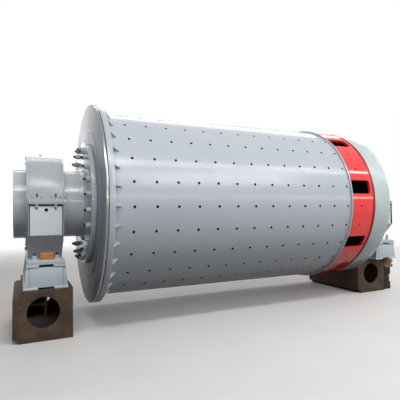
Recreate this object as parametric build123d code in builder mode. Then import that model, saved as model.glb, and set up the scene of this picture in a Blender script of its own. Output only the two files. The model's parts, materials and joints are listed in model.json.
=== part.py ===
from build123d import *
import math
import os

# Rod mill: a horizontal drum on two hollow trunnions, each in its own bearing on a box stand.
# Millimetres. +X runs along the drum from the feed end to the discharge end, +Z is up,
# and the origin is on the floor under the middle of the drum.

os.makedirs("parts", exist_ok=True)

# Drum shell
SHELL_BORE = 2700
SHELL_WALL = 28
DRUM_LENGTH = 4972

# Bolted joint between the shell and the feed head
RIM_HEIGHT = 103
SHELL_FLANGE_WIDTH = 75
GUSSET_COUNT = 36
GUSSET_LENGTH = 100
GUSSET_PLATE = 14
GUSSET_SETBACK = 4
GUSSET_START = -2.6
RIM_SEAM = 10
RIM_SEAM_DEPTH = 14

# Heads
HEAD_PLATE = 50
HEAD_STEP = 12
HEAD_STEP_REACH = 192
HEAD_BORE_CLEARANCE = 20
SPIGOT_LENGTH = 20
SPIGOT_CLEARANCE = 1

# Trunnions
TRUNNION_REACH = 1000
TRUNNION_DIAMETER = 988
TRUNNION_WALL = 104
TRUNNION_FLANGE_HEIGHT = 416
TRUNNION_FLANGE = 60
TRUNNION_COVE = 80
TRUNNION_CHAMFER = 8
JOURNAL_RELIEF = 4
JOURNAL_PLAY = 5

# Discharge end: joint ring, window bridges, discharge ring and end ring
END_RING_WIDTH = 372
END_RING_STAND_OUT = 5
DISCHARGE_RING_WIDTH = 105
DISCHARGE_RING_STAND_OUT = 14
JOINT_RING_WIDTH = 22
JOINT_RING_STAND_OUT = 32
GROOVE_WIDTH = 34
GROOVE_DEPTH = 24
WINDOW_COUNT = 9
WINDOW_LENGTH = 429
WINDOW_WIDTH = 232
WINDOW_CORNER = 46
WINDOW_START = 10.17

# Bearings
BEARING_REACH = 609
BEARING_WIDTH = 424
SPLIT_DROP = 30
CAP_ROOM = 90
CAP_WALL = 20
CAP_FLANGE = 60
CAP_FLANGE_REACH = 105
BUSH_END_WALL = 12
BUSH_THICKNESS = 80
BUSH_CLEARANCE = 0.5
BUSH_DROP = 5
BODY_RECESS = 15
BODY_FLOOR = 59.5
BODY_SLOPE_TOP = 428
BODY_FOOT_HALF_DEPTH = 480
SEAL_PLATE = 22
SEAL_CLEARANCE = 6
SEAL_MARGIN = 4
COVER_SIDE_MARGIN = 19
COVER_FOOT_MARGIN = 2
COVER_PLATE = 12
COVER_GAP = 20
COVER_SEAM = 11
COVER_RECESS = 30
COVER_SEAM_DEPTH = 70
PEEP_HOLE = 45
PEEP_DROP = 52
PEEP_DEPTH = 60

# Pedestals under the bearings
SOLE_PLATE = 45
SOLE_OVERHANG = 8.5
TOP_PLATE = 13
TOP_PLATE_OVERHANG = 12.5
POCKET_PLATE = 32
POCKET_WIDTH = 170
POCKET_DEPTH = 220
BOX_HEIGHT = 255
BOX_SETBACK = 25.5
BOX_WALL = 25
BOX_RECESS = 12
PANEL_SEAM = 10
PANEL_SEAM_DEPTH = 18
RIB_COUNT = 4
RIB_PLATE = 20
RIB_FLARE = 32
RIB_SETBACK = 4
FOOT_PLATE = 25
FOOT_MARGIN = 5
FOOT_NOTCH_WIDTH = 190
FOOT_NOTCH_DEPTH = 130

# Box stands
STAND_WIDTH = 714
STAND_HEIGHT = 650
STAND_LENGTH = 1385
STAND_WALL = 30
STAND_HOLE = 390
STAND_HOLE_HEIGHT = 362
STAND_STEP_WIDTH = 92
STAND_STEP_HEIGHT = 76
STAND_STEP_CHAMFER = 30
STAND_NOTCH_WIDTH = 70
STAND_NOTCH_HEIGHT = 55
STAND_WEB = 36
STAND_WEB_SHIFT = 40
STAND_WEB_FOOT = 236
STAND_WEB_SETBACK = 250
STAND_SHELF = 20
STAND_SHELF_RISE = 45
STAND_SHIFT = 92
FEED_STAND_SHIFT = 32
DISCHARGE_STAND_GAP = 38

# Timber
BLOCK_WIDTH = 156
BLOCK_HEIGHT = 88
BLOCK_DEPTH = 96
BLOCK_SETBACK = 18
BLOCK_SHIFT = 8
PACKING_GAP = 9
PACKING_WIDTH = 230
PLANK = 50
PLANK_COUNT = 4
PLANK_LENGTH = 1240
SLEEPER_COUNT = 3
SLEEPER_LENGTH = 1120
TIMBER_STAGGER = 26

# Radii worked out from the sizes above
SHELL_INNER = SHELL_BORE / 2
SHELL_OUTER = SHELL_INNER + SHELL_WALL
RIM_RADIUS = SHELL_OUTER + RIM_HEIGHT
HEAD_OUTER = SHELL_INNER - SPIGOT_CLEARANCE
TRUNNION_RADIUS = TRUNNION_DIAMETER / 2
TRUNNION_INNER = TRUNNION_RADIUS - TRUNNION_WALL
TRUNNION_FLANGE_RADIUS = TRUNNION_RADIUS + TRUNNION_FLANGE_HEIGHT
HEAD_BORE = TRUNNION_INNER + HEAD_BORE_CLEARANCE
HEAD_STEP_RADIUS = TRUNNION_FLANGE_RADIUS + HEAD_STEP_REACH
JOURNAL_RADIUS = TRUNNION_RADIUS - JOURNAL_RELIEF
BUSH_INNER = JOURNAL_RADIUS + BUSH_CLEARANCE
BUSH_OUTER = BUSH_INNER + BUSH_THICKNESS
CAP_INNER = BUSH_OUTER + CAP_ROOM
CAP_RADIUS = CAP_INNER + CAP_WALL
SEAL_INNER = TRUNNION_RADIUS + SEAL_CLEARANCE
SEAL_OUTER = CAP_RADIUS - SEAL_MARGIN

# Stations along the drum
HEAD_FACE = DRUM_LENGTH / 2
FLANGE_X = -HEAD_FACE + HEAD_PLATE
SHELL_FLANGE_END = FLANGE_X + SHELL_FLANGE_WIDTH
END_RING_X = HEAD_FACE - END_RING_WIDTH
DISCHARGE_RING_X = END_RING_X - DISCHARGE_RING_WIDTH
SHELL_END = DISCHARGE_RING_X - WINDOW_LENGTH
BEARING_X = HEAD_FACE + BEARING_REACH
BUSH_LENGTH = BEARING_WIDTH - 2 * BUSH_END_WALL
JOURNAL_HALF = BUSH_LENGTH / 2 + JOURNAL_PLAY
FEED_STAND_X = -BEARING_X - FEED_STAND_SHIFT
DISCHARGE_STAND_X = HEAD_FACE + DISCHARGE_STAND_GAP + STAND_WIDTH / 2

# Levels and depths of the bearings and what carries them
BODY_HEIGHT = CAP_RADIUS + BODY_FLOOR
BEARING_HALF_DEPTH = CAP_RADIUS + CAP_FLANGE_REACH
BODY_HALF_DEPTH = BEARING_HALF_DEPTH - BODY_RECESS
COVER_SEAT = BODY_HALF_DEPTH - COVER_RECESS
BOX_FOOT = STAND_HEIGHT + FOOT_PLATE
BOX_TOP = BOX_FOOT + BOX_HEIGHT
TOP_PLATE_FOOT = BOX_TOP + POCKET_PLATE
SOLE_FOOT = TOP_PLATE_FOOT + TOP_PLATE
SOLE_TOP = SOLE_FOOT + SOLE_PLATE
AXIS_HEIGHT = SOLE_TOP + BODY_HEIGHT
COVER_TOP = AXIS_HEIGHT - SPLIT_DROP - COVER_GAP
COVER_FOOT = AXIS_HEIGHT - BODY_SLOPE_TOP + COVER_FOOT_MARGIN
COVER_HEIGHT = COVER_TOP - COVER_FOOT
COVER_WIDTH = BEARING_WIDTH - 2 * COVER_SIDE_MARGIN
SEAM_HEIGHT = COVER_HEIGHT + COVER_GAP
SOLE_WIDTH = BEARING_WIDTH + 2 * SOLE_OVERHANG
TOP_PLATE_WIDTH = SOLE_WIDTH + 2 * TOP_PLATE_OVERHANG
BOX_WIDTH = TOP_PLATE_WIDTH - 2 * BOX_SETBACK
RIB_FOOT_WIDTH = TOP_PLATE_WIDTH + 2 * RIB_FLARE
FOOT_WIDTH = RIB_FOOT_WIDTH + 2 * FOOT_MARGIN

drum_axis = Axis((0, 0, AXIS_HEIGHT), (1, 0, 0))
drum_plane = Plane(origin=(0, 0, AXIS_HEIGHT), x_dir=(1, 0, 0), z_dir=(0, -1, 0))


def save(piece, label):
    """Name a finished piece and write it."""
    piece.label = label
    export_step(piece, f"parts/{label}.step")


def section_plane(x):
    """Plane across the drum at x, with its own x along +Y and its own y up, centred on the axis."""
    return Plane(origin=(x, 0, AXIS_HEIGHT), x_dir=(0, 1, 0), z_dir=(1, 0, 0))


def ring(x_start, x_end, inner, outer):
    """Plain ring round the drum axis."""
    with BuildPart() as plain_ring:
        with BuildSketch(section_plane(x_start)):
            Circle(outer)
            Circle(inner, mode=Mode.SUBTRACT)
        extrude(amount=x_end - x_start)
    return plain_ring.part


# Shell with its flange and gussets

save(ring(FLANGE_X, SHELL_END, SHELL_INNER, SHELL_OUTER), "shell")
save(ring(FLANGE_X, SHELL_FLANGE_END, SHELL_OUTER, RIM_RADIUS), "shell_flange")

with BuildPart() as gussets:
    for number in range(GUSSET_COUNT):
        turn = GUSSET_START + number * 360 / GUSSET_COUNT
        gusset_plane = drum_plane.rotated((90 - turn, 0, 0))
        with BuildSketch(gusset_plane):
            with BuildLine():
                Polyline(
                    (SHELL_FLANGE_END, SHELL_OUTER),
                    (SHELL_FLANGE_END + GUSSET_LENGTH, SHELL_OUTER),
                    (SHELL_FLANGE_END, RIM_RADIUS - GUSSET_SETBACK),
                    close=True,
                )
            make_face()
        extrude(amount=GUSSET_PLATE / 2, both=True)
save(gussets.part, "flange_gussets")

# Feed head: rim that bolts to the shell flange, raised face, and a spigot into the shell

with BuildPart() as feed_head:
    with BuildSketch(drum_plane):
        with BuildLine():
            Polyline(
                (-HEAD_FACE, HEAD_BORE),
                (-HEAD_FACE, HEAD_STEP_RADIUS),
                (-HEAD_FACE + HEAD_STEP, HEAD_STEP_RADIUS + HEAD_STEP),
                (-HEAD_FACE + HEAD_STEP, RIM_RADIUS),
                (FLANGE_X - RIM_SEAM, RIM_RADIUS),
                (FLANGE_X - RIM_SEAM, RIM_RADIUS - RIM_SEAM_DEPTH),
                (FLANGE_X, RIM_RADIUS - RIM_SEAM_DEPTH),
                (FLANGE_X, HEAD_OUTER),
                (FLANGE_X + SPIGOT_LENGTH, HEAD_OUTER),
                (FLANGE_X + SPIGOT_LENGTH, HEAD_BORE),
                close=True,
            )
        make_face()
    revolve(axis=drum_axis)
save(feed_head.part, "feed_head")

# Discharge end: raised joint ring, bridges between the windows, grooved ring, end ring, and a
# head welded into the end ring

save(
    ring(SHELL_END - JOINT_RING_WIDTH, SHELL_END, SHELL_OUTER, SHELL_OUTER + JOINT_RING_STAND_OUT),
    "joint_ring",
)

ring_outer = SHELL_OUTER + DISCHARGE_RING_STAND_OUT

with BuildPart() as window_bridges:
    with BuildSketch(section_plane(SHELL_END)):
        Circle(ring_outer)
        Circle(SHELL_INNER, mode=Mode.SUBTRACT)
    extrude(amount=WINDOW_LENGTH)
    for number in range(WINDOW_COUNT):
        turn = math.radians(WINDOW_START + number * 360 / WINDOW_COUNT)
        radial = Vector(0, -math.cos(turn), math.sin(turn))
        window_middle = Vector(SHELL_END + WINDOW_LENGTH / 2, 0, AXIS_HEIGHT)
        window_plane = Plane(
            origin=window_middle + radial * (SHELL_INNER - SHELL_WALL),
            x_dir=(1, 0, 0),
            z_dir=radial,
        )
        with BuildSketch(window_plane):
            opening = Rectangle(WINDOW_LENGTH, WINDOW_WIDTH)
            fillet(opening.vertices().sort_by(Axis.X)[-2:], radius=WINDOW_CORNER)
        extrude(amount=3 * SHELL_WALL, mode=Mode.SUBTRACT)
save(window_bridges.part, "window_bridges")

with BuildPart() as discharge_ring:
    with BuildSketch(drum_plane):
        with BuildLine():
            Polyline(
                (DISCHARGE_RING_X, SHELL_INNER),
                (DISCHARGE_RING_X, ring_outer),
                (END_RING_X - GROOVE_WIDTH, ring_outer),
                (END_RING_X - GROOVE_WIDTH, ring_outer - GROOVE_DEPTH),
                (END_RING_X, ring_outer - GROOVE_DEPTH),
                (END_RING_X, SHELL_INNER),
                close=True,
            )
        make_face()
    revolve(axis=drum_axis)
save(discharge_ring.part, "discharge_ring")

save(ring(END_RING_X, HEAD_FACE, SHELL_INNER, SHELL_OUTER + END_RING_STAND_OUT), "end_ring")
save(ring(HEAD_FACE - HEAD_PLATE, HEAD_FACE, HEAD_BORE, SHELL_INNER), "discharge_head")

# Trunnions: a bolting flange with a coved hub, on a barrel with a ground journal


def trunnion_flange(side):
    """Flange against the head at the end that side points to, -1 for feed and 1 for discharge."""
    face = side * (HEAD_FACE + TRUNNION_FLANGE)
    hub_end = face + side * TRUNNION_COVE
    with BuildPart() as flange:
        with BuildSketch(drum_plane):
            with BuildLine():
                Polyline(
                    (hub_end, TRUNNION_RADIUS),
                    (side * HEAD_FACE, TRUNNION_RADIUS),
                    (side * HEAD_FACE, TRUNNION_FLANGE_RADIUS),
                    (face, TRUNNION_FLANGE_RADIUS),
                    (face, TRUNNION_RADIUS + TRUNNION_COVE),
                )
                TangentArc(
                    (face, TRUNNION_RADIUS + TRUNNION_COVE),
                    (hub_end, TRUNNION_RADIUS),
                    tangent=(0, -1),
                )
            make_face()
        revolve(axis=drum_axis)
    return flange.part


def trunnion(side):
    """Hollow trunnion from the head face out, with the journal ground a little under size."""
    end = side * (HEAD_FACE + TRUNNION_REACH)
    journal_near = side * (BEARING_X - JOURNAL_HALF)
    journal_far = side * (BEARING_X + JOURNAL_HALF)
    with BuildPart() as barrel:
        with BuildSketch(drum_plane):
            with BuildLine():
                Polyline(
                    (side * HEAD_FACE, TRUNNION_INNER),
                    (side * HEAD_FACE, TRUNNION_RADIUS),
                    (journal_near, TRUNNION_RADIUS),
                    (journal_near, JOURNAL_RADIUS),
                    (journal_far, JOURNAL_RADIUS),
                    (journal_far, TRUNNION_RADIUS),
                    (end - side * TRUNNION_CHAMFER, TRUNNION_RADIUS),
                    (end, TRUNNION_RADIUS - TRUNNION_CHAMFER),
                    (end, TRUNNION_INNER),
                    close=True,
                )
            make_face()
        revolve(axis=drum_axis)
    return barrel.part


# Bearings


def bearing_body(x):
    """Lower half of the housing, bored for the bush and recessed for its cover plates."""
    with BuildPart() as housing:
        with BuildSketch(section_plane(x)):
            with BuildLine():
                Polyline(
                    (-BODY_HALF_DEPTH, -SPLIT_DROP),
                    (-BODY_HALF_DEPTH, -BODY_SLOPE_TOP),
                    (-BODY_FOOT_HALF_DEPTH, -BODY_HEIGHT),
                    (BODY_FOOT_HALF_DEPTH, -BODY_HEIGHT),
                    (BODY_HALF_DEPTH, -BODY_SLOPE_TOP),
                    (BODY_HALF_DEPTH, -SPLIT_DROP),
                    close=True,
                )
            make_face()
        extrude(amount=BEARING_WIDTH / 2, both=True)
        with BuildSketch(section_plane(x)):
            Circle(SEAL_INNER)
        extrude(amount=BEARING_WIDTH / 2, both=True, mode=Mode.SUBTRACT)
        with BuildSketch(section_plane(x)):
            Circle(BUSH_OUTER)
        extrude(amount=BUSH_LENGTH / 2, both=True, mode=Mode.SUBTRACT)
        with BuildSketch(Plane.XY.offset(COVER_FOOT)):
            for front in (-1, 1):
                with Locations((x, front * (COVER_SEAT + COVER_RECESS / 2))):
                    Rectangle(COVER_WIDTH + 2 * COVER_SEAM, COVER_RECESS)
        extrude(amount=AXIS_HEIGHT - SPLIT_DROP - COVER_FOOT, mode=Mode.SUBTRACT)
        for front in (-1, 1):
            seat_plane = Plane(
                origin=(x, front * COVER_SEAT, COVER_TOP - PEEP_DROP),
                x_dir=(1, 0, 0),
                z_dir=(0, -front, 0),
            )
            with BuildSketch(seat_plane):
                Circle(PEEP_HOLE / 2)
            extrude(amount=PEEP_DEPTH, mode=Mode.SUBTRACT)
            with BuildSketch(seat_plane):
                with Locations((0, front * (PEEP_DROP + COVER_GAP - SEAM_HEIGHT / 2))):
                    Rectangle(COVER_WIDTH + 2 * COVER_SEAM, SEAM_HEIGHT)
                with Locations((0, front * (PEEP_DROP - COVER_HEIGHT / 2))):
                    Rectangle(COVER_WIDTH, COVER_HEIGHT, mode=Mode.SUBTRACT)
            extrude(amount=COVER_SEAM_DEPTH, mode=Mode.SUBTRACT)
    return housing.part


def bearing_bush(x):
    """Half bush under the journal, bedded in the housing."""
    with BuildPart() as bush:
        with BuildSketch(section_plane(x)):
            Circle(BUSH_OUTER)
            Circle(BUSH_INNER, mode=Mode.SUBTRACT)
            with Locations((0, BUSH_OUTER - SPLIT_DROP - BUSH_DROP)):
                Rectangle(2 * BUSH_OUTER, 2 * BUSH_OUTER, mode=Mode.SUBTRACT)
        extrude(amount=BUSH_LENGTH / 2, both=True)
    return bush.part


def bearing_cap(x):
    """Arched cover over the journal, on two bolting flanges at the split."""
    with BuildPart() as cap:
        with BuildSketch(section_plane(x)):
            Circle(CAP_RADIUS)
            with Locations((0, -SPLIT_DROP - CAP_RADIUS)):
                Rectangle(2 * CAP_RADIUS, 2 * CAP_RADIUS, mode=Mode.SUBTRACT)
            with Locations((0, CAP_FLANGE / 2 - SPLIT_DROP)):
                Rectangle(2 * BEARING_HALF_DEPTH, CAP_FLANGE)
            Circle(CAP_INNER, mode=Mode.SUBTRACT)
        extrude(amount=BEARING_WIDTH / 2, both=True)
    return cap.part


def seal_rings(x):
    """Ring on each end of the housing and its cap, closing the gap round the trunnion."""
    with BuildPart() as seals:
        for side in (-1, 1):
            face = x + side * BEARING_WIDTH / 2
            with BuildSketch(section_plane(face)):
                Circle(SEAL_OUTER)
                Circle(SEAL_INNER, mode=Mode.SUBTRACT)
            extrude(amount=side * SEAL_PLATE)
    return seals.part


def cover_plates(x):
    """Front and back cover plates of the housing, each with a round hole near its top."""
    with BuildPart() as covers:
        for front in (-1, 1):
            cover_plane = Plane(
                origin=(x, front * COVER_SEAT, COVER_TOP - COVER_HEIGHT / 2),
                x_dir=(1, 0, 0),
                z_dir=(0, front, 0),
            )
            up = -front
            with BuildSketch(cover_plane):
                Rectangle(COVER_WIDTH, COVER_HEIGHT)
                with Locations((0, up * (COVER_HEIGHT / 2 - PEEP_DROP))):
                    Circle(PEEP_HOLE / 2, mode=Mode.SUBTRACT)
            extrude(amount=COVER_PLATE)
    return covers.part


# Pedestals


def slab(x, width, depth, height, bottom):
    """Flat rectangular block centred on x, standing at bottom."""
    with BuildPart() as block:
        with BuildSketch(Plane.XY.offset(bottom)):
            with Locations((x, 0)):
                Rectangle(width, depth)
        extrude(amount=height)
    return block.part


def notched_plate(x, width, height, bottom, notch_width, notch_depth):
    """Flat plate notched in the middle of its front and its back edge."""
    with BuildPart() as plate:
        with BuildSketch(Plane.XY.offset(bottom)):
            with Locations((x, 0)):
                Rectangle(width, 2 * BEARING_HALF_DEPTH)
            with Locations((x, -BEARING_HALF_DEPTH), (x, BEARING_HALF_DEPTH)):
                Rectangle(notch_width, 2 * notch_depth, mode=Mode.SUBTRACT)
        extrude(amount=height)
    return plate.part


def pedestal_box(x):
    """Welded box of the pedestal with flared ribs down both of its long sides."""
    box_half_depth = BEARING_HALF_DEPTH - BOX_RECESS
    rib_half_depth = box_half_depth - RIB_SETBACK
    rib_pitch = (2 * rib_half_depth - RIB_PLATE) / (RIB_COUNT - 1)
    with BuildPart() as box:
        with BuildSketch(Plane.XY.offset(BOX_FOOT)):
            with Locations((x, 0)):
                Rectangle(BOX_WIDTH, 2 * box_half_depth)
                Rectangle(BOX_WIDTH - 2 * BOX_WALL, 2 * (box_half_depth - BOX_WALL), mode=Mode.SUBTRACT)
        extrude(amount=BOX_HEIGHT)
        with BuildSketch(Plane.XZ):
            with Locations((x, BOX_FOOT + BOX_HEIGHT / 2)):
                Rectangle(BOX_WIDTH, BOX_HEIGHT)
            with Locations((x, BOX_FOOT + (BOX_HEIGHT - PANEL_SEAM) / 2)):
                Rectangle(BOX_WIDTH - 2 * PANEL_SEAM, BOX_HEIGHT - PANEL_SEAM, mode=Mode.SUBTRACT)
        seam = extrude(amount=box_half_depth, both=True, mode=Mode.PRIVATE)
        with BuildSketch(Plane.XZ):
            with Locations((x, BOX_FOOT + BOX_HEIGHT / 2)):
                Rectangle(BOX_WIDTH, BOX_HEIGHT)
        kept = extrude(amount=box_half_depth - PANEL_SEAM_DEPTH, both=True, mode=Mode.PRIVATE)
        add(seam - kept, mode=Mode.SUBTRACT)
        for number in range(RIB_COUNT):
            rib_y = -rib_half_depth + number * rib_pitch
            for side in (-1, 1):
                with BuildSketch(Plane.XZ.offset(-rib_y)):
                    with BuildLine():
                        Polyline(
                            (x + side * BOX_WIDTH / 2, BOX_FOOT),
                            (x + side * RIB_FOOT_WIDTH / 2, BOX_FOOT),
                            (x + side * TOP_PLATE_WIDTH / 2, BOX_TOP),
                            (x + side * BOX_WIDTH / 2, BOX_TOP),
                            close=True,
                        )
                    make_face()
                extrude(amount=-RIB_PLATE)
    return box.part


# Stands


def stand_outline(x, inset):
    """Corners of the stand's outline, with the step at its top and its foot notch, both at -X."""
    left = x - STAND_WIDTH / 2 + inset
    right = x + STAND_WIDTH / 2 - inset
    top = STAND_HEIGHT - inset
    shoulder = top - STAND_STEP_HEIGHT
    return [
        (right, inset),
        (left + STAND_NOTCH_WIDTH, inset),
        (left + STAND_NOTCH_WIDTH, inset + STAND_NOTCH_HEIGHT),
        (left, inset + STAND_NOTCH_HEIGHT),
        (left, shoulder - STAND_STEP_CHAMFER),
        (left + STAND_STEP_CHAMFER, shoulder),
        (left + STAND_STEP_WIDTH, shoulder),
        (left + STAND_STEP_WIDTH, top),
        (right, top),
    ]


def stand(x, shift):
    """Welded box stand with a round hole in its front and its back plate."""
    with BuildPart() as box_stand:
        with BuildSketch(Plane.XZ.offset(-shift)):
            with BuildLine():
                Polyline(*stand_outline(x, 0), close=True)
            make_face()
        extrude(amount=STAND_LENGTH / 2, both=True)
        with BuildSketch(Plane.XZ.offset(-shift)):
            with BuildLine():
                Polyline(*stand_outline(x, STAND_WALL), close=True)
            make_face()
        extrude(amount=STAND_LENGTH / 2 - STAND_WALL, both=True, mode=Mode.SUBTRACT)
        with BuildSketch(Plane.XZ.offset(-shift)):
            with Locations((x, STAND_HOLE_HEIGHT)):
                Circle(STAND_HOLE / 2)
        extrude(amount=STAND_LENGTH / 2, both=True, mode=Mode.SUBTRACT)
    return box_stand.part


def stand_web(x, shift):
    """Web that hangs inside the stand, with a shelf plate to its -X wall, short of both ends."""
    web_x = x + STAND_WEB_SHIFT
    wall_x = x - STAND_WIDTH / 2 + STAND_WALL
    web_top = STAND_HEIGHT - STAND_WALL
    with BuildPart() as web:
        with BuildSketch(Plane.XZ.offset(-shift)):
            with Locations((web_x, (STAND_WEB_FOOT + web_top) / 2)):
                Rectangle(STAND_WEB, web_top - STAND_WEB_FOOT)
            with Locations(((web_x + wall_x) / 2, STAND_HOLE_HEIGHT + STAND_SHELF_RISE)):
                Rectangle(web_x - wall_x, STAND_SHELF)
        extrude(amount=STAND_LENGTH / 2 - STAND_WALL - STAND_WEB_SETBACK, both=True)
    return web.part


# One trunnion, bearing, pedestal and stand at each end of the mill

ENDS = (
    ("feed", -1, FEED_STAND_X, -STAND_SHIFT),
    ("discharge", 1, DISCHARGE_STAND_X, STAND_SHIFT),
)

for end_name, side, stand_x, stand_shift in ENDS:
    bearing_x = side * BEARING_X
    save(trunnion(side), f"{end_name}_trunnion")
    save(trunnion_flange(side), f"{end_name}_trunnion_flange")
    save(bearing_body(bearing_x), f"{end_name}_bearing_body")
    save(bearing_bush(bearing_x), f"{end_name}_bearing_bush")
    save(bearing_cap(bearing_x), f"{end_name}_bearing_cap")
    save(seal_rings(bearing_x), f"{end_name}_seal_rings")
    save(cover_plates(bearing_x), f"{end_name}_bearing_covers")
    save(
        slab(bearing_x, SOLE_WIDTH, 2 * BEARING_HALF_DEPTH, SOLE_PLATE, SOLE_FOOT),
        f"{end_name}_sole_plate",
    )
    save(
        slab(bearing_x, TOP_PLATE_WIDTH, 2 * BEARING_HALF_DEPTH, TOP_PLATE, TOP_PLATE_FOOT),
        f"{end_name}_pedestal_top",
    )
    save(
        notched_plate(
            bearing_x, TOP_PLATE_WIDTH, POCKET_PLATE, BOX_TOP, POCKET_WIDTH, POCKET_DEPTH
        ),
        f"{end_name}_pocket_plate",
    )
    save(pedestal_box(bearing_x), f"{end_name}_pedestal_box")
    save(
        notched_plate(
            bearing_x, FOOT_WIDTH, FOOT_PLATE, STAND_HEIGHT, FOOT_NOTCH_WIDTH, FOOT_NOTCH_DEPTH
        ),
        f"{end_name}_pedestal_foot",
    )
    save(stand(stand_x, stand_shift), f"{end_name}_stand")
    save(stand_web(stand_x, stand_shift), f"{end_name}_stand_web")

# Timber: a block on the feed sole plate, and packing beside the discharge stand

with BuildPart() as timber_block:
    with BuildSketch(Plane.XY.offset(SOLE_TOP)):
        block_y = -BEARING_HALF_DEPTH + BLOCK_SETBACK + BLOCK_DEPTH / 2
        with Locations((-BEARING_X + BLOCK_SHIFT, block_y)):
            Rectangle(BLOCK_WIDTH, BLOCK_DEPTH)
    extrude(amount=BLOCK_HEIGHT)
save(timber_block.part, "timber_block")

packing_x = DISCHARGE_STAND_X + STAND_WIDTH / 2 + PACKING_GAP + PACKING_WIDTH / 2
sleeper_height = (STAND_HEIGHT - PLANK_COUNT * PLANK) / SLEEPER_COUNT
for number in range(SLEEPER_COUNT):
    with BuildPart() as sleeper:
        with BuildSketch(Plane.XY.offset(number * sleeper_height)):
            with Locations((packing_x, (number % 2) * TIMBER_STAGGER)):
                Rectangle(PACKING_WIDTH, SLEEPER_LENGTH)
        extrude(amount=sleeper_height)
    save(sleeper.part, f"packing_sleeper_{number + 1}")

for number in range(PLANK_COUNT):
    with BuildPart() as plank:
        with BuildSketch(Plane.XY.offset(SLEEPER_COUNT * sleeper_height + number * PLANK)):
            with Locations((packing_x, (number % 2) * TIMBER_STAGGER)):
                Rectangle(PACKING_WIDTH, PLANK_LENGTH)
        extrude(amount=PLANK)
    save(plank.part, f"packing_plank_{number + 1}")
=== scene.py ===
# %% [markdown]
# # A rod mill on two box stands
# The real machine is a steel drum, five metres long, that turns on two hollow trunnions and
# grinds ore with loose steel rods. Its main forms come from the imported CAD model. This lesson
# adds what a sprayed and bolted machine shows up close: drilled holes, nuts, welds and paint.

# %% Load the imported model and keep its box
import json
import math

import bmesh
import bpy
from mathutils import Matrix, Vector


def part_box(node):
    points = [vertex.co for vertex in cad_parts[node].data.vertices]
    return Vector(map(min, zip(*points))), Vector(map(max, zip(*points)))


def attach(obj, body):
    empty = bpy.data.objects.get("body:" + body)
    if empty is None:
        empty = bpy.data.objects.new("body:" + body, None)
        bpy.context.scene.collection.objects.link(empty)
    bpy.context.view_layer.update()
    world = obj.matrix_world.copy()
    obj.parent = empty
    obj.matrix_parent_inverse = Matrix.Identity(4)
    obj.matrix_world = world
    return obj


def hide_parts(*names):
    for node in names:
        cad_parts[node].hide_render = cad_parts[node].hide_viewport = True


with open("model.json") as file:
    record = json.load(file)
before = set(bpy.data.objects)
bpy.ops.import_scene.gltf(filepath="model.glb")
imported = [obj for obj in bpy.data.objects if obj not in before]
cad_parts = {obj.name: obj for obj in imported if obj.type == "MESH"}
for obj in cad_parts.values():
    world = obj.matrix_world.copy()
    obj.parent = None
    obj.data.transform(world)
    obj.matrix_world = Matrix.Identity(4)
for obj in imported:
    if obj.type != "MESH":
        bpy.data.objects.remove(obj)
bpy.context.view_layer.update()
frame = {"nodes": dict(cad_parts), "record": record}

cad_nodes = frame["nodes"]

# %% [markdown]
# ## Where things are
# Every length is in metres, in the frame of the CAD model: +X runs along the drum to the
# discharge end, +Z is up and -Y faces the viewer. Angles round the drum start at the front (-Y)
# and rise towards the top. The places are read from the CAD nodes wherever a node has them.

# %% Read the main places from the CAD nodes
shell_low, shell_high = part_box("shell")
SHELL_START = shell_low.x
SHELL_END = shell_high.x
SHELL_RADIUS = 1.378
SHELL_WALL = 0.028
AXIS_HEIGHT = (shell_low.z + shell_high.z) / 2
DRUM_AXIS = Vector((0, 0, AXIS_HEIGHT))
# Places that differ by less than this count as the same.
MILLIMETRE = 0.001
print("drum axis height:", round(AXIS_HEIGHT, 4))

# %% [markdown]
# ## Small helpers for edit mode
# An operator acts on all that is selected, and the loaded CAD nodes start out selected. So each
# piece begins with nothing selected, and faces, edges and vertices are picked in code by place.

# %% Helpers: select one piece, pick parts of it, and finish it
def only(piece):
    """Leave one object selected and active."""
    bpy.ops.object.select_all(action="DESELECT")
    piece.select_set(True)
    bpy.context.view_layer.objects.active = piece


def begin(name):
    """Name the primitive that was just added, and open it in edit mode."""
    piece = bpy.context.active_object
    piece.name = name
    piece.data.name = name
    only(piece)
    bpy.ops.object.mode_set(mode="EDIT")
    return piece


def pick(piece, part, test):
    """In edit mode, select the verts, edges or faces whose test is true, and count them."""
    bpy.ops.mesh.select_mode(type={"verts": "VERT", "edges": "EDGE", "faces": "FACE"}[part])
    bpy.ops.mesh.select_all(action="DESELECT")
    mesh = bmesh.from_edit_mesh(piece.data)
    count = 0
    for item in getattr(mesh, part):
        if test(item):
            item.select_set(True)
            count += 1
    mesh.select_flush_mode()
    bmesh.update_edit_mesh(piece.data)
    return count


def middle(item):
    """Middle of an edge or a face."""
    total = Vector()
    for vert in item.verts:
        total += vert.co
    return total / len(item.verts)


def add_modifier(piece, kind, **settings):
    """Add one modifier, set it and apply it."""
    only(piece)
    modifier = piece.modifiers.new(kind.title(), kind)
    for name, value in settings.items():
        setattr(modifier, name, value)
    bpy.ops.object.modifier_apply(modifier=modifier.name)


def settle(piece):
    """Write the object's place and turn into its mesh."""
    only(piece)
    bpy.ops.object.transform_apply(location=True, rotation=True, scale=True)


SMOOTH_ANGLE = math.radians(35)


def smooth(piece, angle=SMOOTH_ANGLE):
    """Shade a piece smooth, except across edges that turn by more than the angle."""
    only(piece)
    bpy.ops.object.shade_smooth_by_angle(angle=angle)


def from_axis(face):
    """Distance of a face's middle from the drum's axis."""
    return math.hypot(face.center.y, face.center.z - AXIS_HEIGHT)


def triangles(piece):
    """How many triangles a piece has."""
    return sum(len(face.vertices) - 2 for face in piece.data.polygons)


# %% [markdown]
# ## Camera
# The photograph was taken at eye height, left of the mill, looking along it towards the
# discharge end. The camera was fitted to the drum's edges and its rows of holes.

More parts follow.
